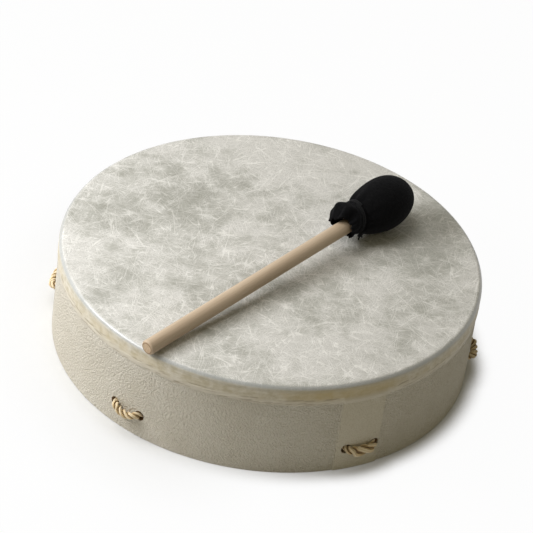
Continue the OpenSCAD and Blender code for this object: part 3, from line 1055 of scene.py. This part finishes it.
def napped_cover():
    turn = np.linspace(0, 2 * math.pi, cover_sides, endpoint=False)
    flat = np.ones(cover_sides)
    gathers = wander(turn, 7, 13, 6, seed=21)
    pleats = wander(turn, 5, 9, 5, seed=22)
    frill = wander(turn, 9, 26, 9, seed=23)
    dents = wander(turn, 2, 5, 5, seed=24)
    edge = skirt_l + skirt_slant * np.cos(turn - skirt_long_side)
    edge = edge + skirt_oval * np.cos(2 * (turn - skirt_side)) + skirt_frill * frill
    edge = edge - notch_l * np.exp(-((turn - notch_side) / notch_turn) ** 2)
    spread = fan_out + fan_slant * np.cos(turn - skirt_side)
    low = neck_r + gather(turn)
    thick = low - neck_in_r
    lengths, outside, inside = [], [], []

    def add(x, r, depth):
        lengths.append(x * flat)
        outside.append(r * flat)
        inside.append(np.maximum(r - depth, neck_in_r) * flat)

    for t in np.linspace(tip_turn, 0, nose_rows):
        dip = dent_depth * dents * math.sin(2 * t)
        add(stick_reach + nose_l * math.sin(t), belly_r * math.cos(t) + dip, cloth_t)
    for back in np.linspace(0, 1, 40)[1:]:
        x = stick_reach + (neck_x + lean(turn) - stick_reach) * back
        rise = max(math.cos(math.pi / 2 * back), 0) ** tail_full
        r = low + (belly_r - low) * rise + gather_rise * gathers * ease(back, 0.3, 1.0)
        add(x, r, cloth_t + (thick - cloth_t) * ease(back, 0.8, 1.0))
    for back in np.linspace(0, 1, 12)[1:]:
        x = neck_x + lean(turn) + (skirt_x - neck_x) * back
        press = math.sin(math.pi * back)
        add(x, low + gather_rise * gathers * (1 - 0.75 * press) - tie_press * press, thick)
    for back in np.linspace(0, 1, 40)[1:]:
        x = skirt_x + lean(turn) * (1 - back) - edge * back
        fan = spread * np.sin(fan_turn * back)
        fold = pleat_rise * pleats * ease(back, 0.0, 0.7) + skirt_gather * gathers * (1 - back)
        add(x, low + fan + fold, cloth_t + (thick - cloth_t) * (1 - back) ** 2)
    rows = round_rows(np.array(lengths), np.array(outside), cover_sides)
    lining = round_rows(np.array(lengths), np.array(inside), cover_sides)[::-1]
    lining[-nose_rows:, :, 0] -= cloth_t * np.linspace(0, 1, nose_rows)[:, None]
    piece = skin(
        "napped_cover", np.concatenate([rows, lining]), black_nap(),
        (tip_x, 0, 0), (tip_x - cloth_t, 0, 0),
    )
    lay_down(piece)
    return piece


cover = napped_cover()
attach(cover, "mallet")
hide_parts("mallet_cover")


# Tie: thin black twine wound twice round the gathers and knotted underneath.
# Its two ends are cut short and hang loose from the knot.
tie_r = 0.0008
tie_wrap_r = 0.01333
tie_pitch = 0.0021
tie_turns = 2
tie_lay = 0.0058
tie_step = 0.0002
tie_soft = 0.0003
knot_turn = math.radians(225)
knot_size = 0.00085
knot_stand = 0.0012
# How far each loose end runs along the stick and out from the knot.
end_runs = ((-0.0034, 0.0034), (0.0012, 0.0030))
end_curl = 0.0015
black_twine = rope_finish(
    "black twine", shade(3, 3, 3), shade(8, 8, 9), shade(24, 24, 26),
    yarns=4.0, yarn_lay=0.006, gloss=0.15,
)


def tie_winding():
    turn = np.linspace(0, 2 * math.pi * tie_turns, 240)
    x = skirt_x + tie_pitch / 2 + tie_pitch * turn / (2 * math.pi)
    around = turn + math.pi / 2
    r = tie_wrap_r + gather(around)
    path = np.stack([x + lean(around), r * np.cos(around), r * np.sin(around)], axis=-1)
    return run_on(path, 2 * tie_r, 1)


def tie_knot_runs():
    """An overhand knot and its two ends, in the mallet's own axes."""
    t = np.linspace(0, 2 * math.pi, 90, endpoint=False)
    heart = knot_size * np.stack([
        np.sin(t) + 1.6 * np.sin(2 * t),
        0.8 * (np.cos(t) - 1.6 * np.cos(2 * t)),
        -1.3 * np.sin(3 * t),
    ], axis=-1)
    s = np.linspace(0, 1, 30)
    ends = [
        np.stack([along * s, out * s ** 1.4, end_curl * s ** 2], axis=-1) for along, out in end_runs
    ]
    centre = np.array([
        skirt_x + tie_pitch * (tie_turns + 1) / 2 + lean(knot_turn),
        tie_wrap_r + gather(knot_turn) + tie_r + knot_stand,
        0,
    ])
    spin = np.array(Matrix.Rotation(knot_turn, 3, "X"))
    return [[(run + centre) @ spin.T for run in runs] for runs in ([heart], ends)]


knot_heart, knot_ends = tie_knot_runs()
twine = {
    "Rope radius": tie_r, "Lay length": tie_lay, "Step": 0.0003, "Strand sides": 10,
    "Finish": black_twine,
}
tie_path = evened(tie_winding(), tie_step, tie_soft, False)
winding = grown("tie_winding", path_mesh("tie_path", [tie_path], False), lay_tree, twine)
lay_down(winding)
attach(winding, "mallet")
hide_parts("mallet_tie_cord")
bow = grown("tie_knot", path_mesh("bow_path", knot_heart, True), lay_tree, twine)
lay_down(bow)
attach(bow, "mallet")
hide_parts("mallet_tie_knot")
loose = grown("tie_ends", path_mesh("ends_path", knot_ends, False), lay_tree, twine)
lay_down(loose)
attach(loose, "mallet")


# Studio: a white floor, a large round lamp overhead and a smaller, oval one at the left.
# To the camera the floor glows white, and so does all beyond it; near the drum a painted shadow dims the
# glow, and there the lit floor shows with the drum's real shadow.
floor_half = 6.0
floor_glow = 0.97
contact_reach = 0.028
contact_right = (-0.05, 0.15)
wide_shade_reach = 0.1
wide_shade_left = (0.03, -0.12)
under_drum = 0.012
dome_light = 0.19
dome_tint = (1.0, 0.91, 0.6, 1)
lamp_aim = Vector((0, 0, 0.05))


def direct_looks(tree):
    """1 for what the camera sees, straight, mirrored or through a piece, 0 for light on things."""
    rays = tree.nodes.new("ShaderNodeLightPath")
    camera, glossy, through = [
        Wire(tree, rays.outputs["Is %s Ray" % kind]) for kind in ("Camera", "Glossy", "Transmission")
    ]
    return camera.top(glossy).top(through)


def white_floor():
    material, shader, place = new_finish(
        "white floor", {"Specular IOR Level": 0.0, "Roughness": 0.9}
    )
    paper = place.noise(3.0, 2.0)
    paper.blend(shade(214, 214, 214), shade(218, 218, 218)).feed(shader, "Base Color")

    def openness(reach):
        return place.node("ShaderNodeAmbientOcclusion", {"samples": 16}, {"Distance": reach}, "AO")

    # Painted shadow: the glow is dimmed where something stands close, more to the right, and faintly
    # over a wide reach to the left.
    across = place.part("X")
    contact = openness(contact_reach).between(0.92, 0.52)
    wide_shade = openness(wide_shade_reach).between(1.0, 0.5)
    shadow = contact * (across.between(*contact_right) * 0.65 + 0.3)
    shadow = shadow + wide_shade * across.between(*wide_shade_left) * 0.5
    open_floor = place.length().between(drum_r - under_drum, drum_r)
    tree = material.node_tree
    white = direct_looks(tree) * open_floor * (floor_glow - shadow)
    lit = Wire(tree, shader.outputs[0])
    glow = place.node("ShaderNodeEmission", {}, {"Strength": 1.0})
    both = place.node("ShaderNodeMixShader", {}, {0: white, 1: lit, 2: glow})
    tree.links.new(both.socket, tree.nodes["Material Output"].inputs["Surface"])
    return material


def studio():
    mesh = bpy.data.meshes.new("floor")
    corners = [(x * floor_half, y * floor_half, 0) for x, y in ((-1, -1), (1, -1), (1, 1), (-1, 1))]
    mesh.from_pydata(corners, [], [(0, 1, 2, 3)])
    mesh.materials.append(white_floor())
    floor = placed("floor", mesh)
    world = bpy.data.worlds.new("studio")
    bpy.context.scene.world = world
    world.use_nodes = True
    ground = world.node_tree.nodes["Background"]
    white = direct_looks(world.node_tree)
    (white * (1 - dome_light) + dome_light).feed(ground, "Strength")
    white.blend(dome_tint, (1, 1, 1, 1)).feed(ground, "Color")
    for name, place, watts, wide, high, tint in (
        ("top lamp", (-0.40, 0.10, 1.5), 7.5, 0.8, 0.8, (1.0, 0.99, 0.97)),
        ("left lamp", (-0.67, -0.12, 0.58), 6.5, 0.6, 0.3, (0.98, 0.99, 1.0)),
    ):
        data = bpy.data.lights.new(name, "AREA")
        data.shape = "ELLIPSE"
        data.size = wide
        data.size_y = high
        data.energy = watts
        data.color = tint
        lamp = placed(name, data)
        lamp.location = place
        lamp.rotation_euler = (lamp_aim - Vector(place)).to_track_quat("-Z", "Y").to_euler()


studio()


# Camera: a long lens in front of the drum, about 37 degrees up and rolled a little.
# Its place, aim and lens give the photograph's view of the drum.
camera_back = 2.5571
camera_rise = math.radians(37.423)
camera_tip = math.radians(1.355)
camera_swing = math.radians(0.068)
camera_roll = math.radians(8.362)
sensor_mm = 36
focal_px = 3000
photo_px = 533


def photo_camera():
    back = Vector((0, -math.cos(camera_rise), math.sin(camera_rise)))
    across = Vector((1, 0, 0))
    up = across.cross(-back)
    aim = Matrix.Rotation(camera_tip, 3, across) @ Matrix.Rotation(camera_swing, 3, up)
    view = aim @ -back
    right = aim @ across
    right = Matrix.Rotation(camera_roll, 3, -view) @ right
    data = bpy.data.cameras.new("photo_camera")
    data.sensor_width = sensor_mm
    data.lens = sensor_mm * focal_px / photo_px
    data.clip_end = 50
    camera = placed("photo_camera", data)
    camera.matrix_world = (
        Matrix.Translation(back * camera_back)
        @ Matrix((right, right.cross(view), -view)).transposed().to_4x4()
    )
    bpy.context.scene.camera = camera


photo_camera()
bpy.context.scene.view_settings.view_transform = "Standard"
